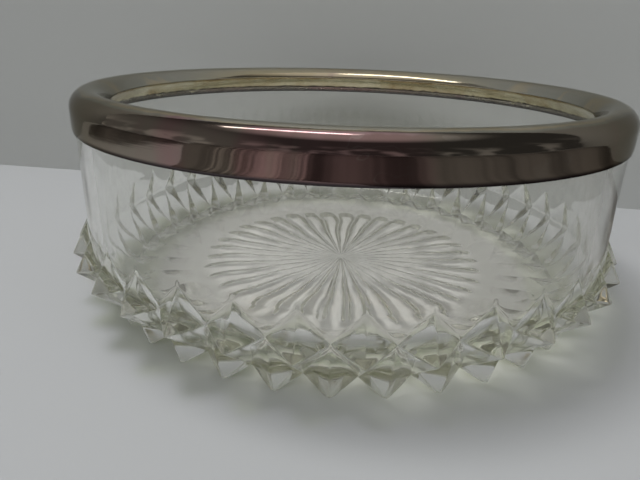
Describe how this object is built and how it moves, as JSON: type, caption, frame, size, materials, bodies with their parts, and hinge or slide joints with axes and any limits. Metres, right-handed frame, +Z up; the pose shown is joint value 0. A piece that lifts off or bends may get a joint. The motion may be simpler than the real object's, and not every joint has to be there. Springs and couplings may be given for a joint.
{
  "type": "silver-mounted glass bowl",
  "caption": "Low round pressed-glass bowl with a band of pyramid spikes and a rayed underside, its rim held in a hollow domed metal mount.",
  "frame": {"origin": "centre of the circle of ground points that the bowl stands on, in the plane of the surface it stands on", "axes": "+Z up, along the bowl's axis; +X to the right and +Y away from the camera in the picture"},
  "size_m": [0.2318, 0.2318, 0.0834],
  "materials": {
    "glass": "polished",
    "silver_plate": "tarnished",
    "inner_lip": "tarnished",
    "plaster": "matte"
  },
  "bodies": {
    "root": {"glass_bowl": "glass", "rim_collar": "silver_plate", "inner_lip_ring": "inner_lip", "plaster_bed": "plaster"}
  },
  "joints": []
}
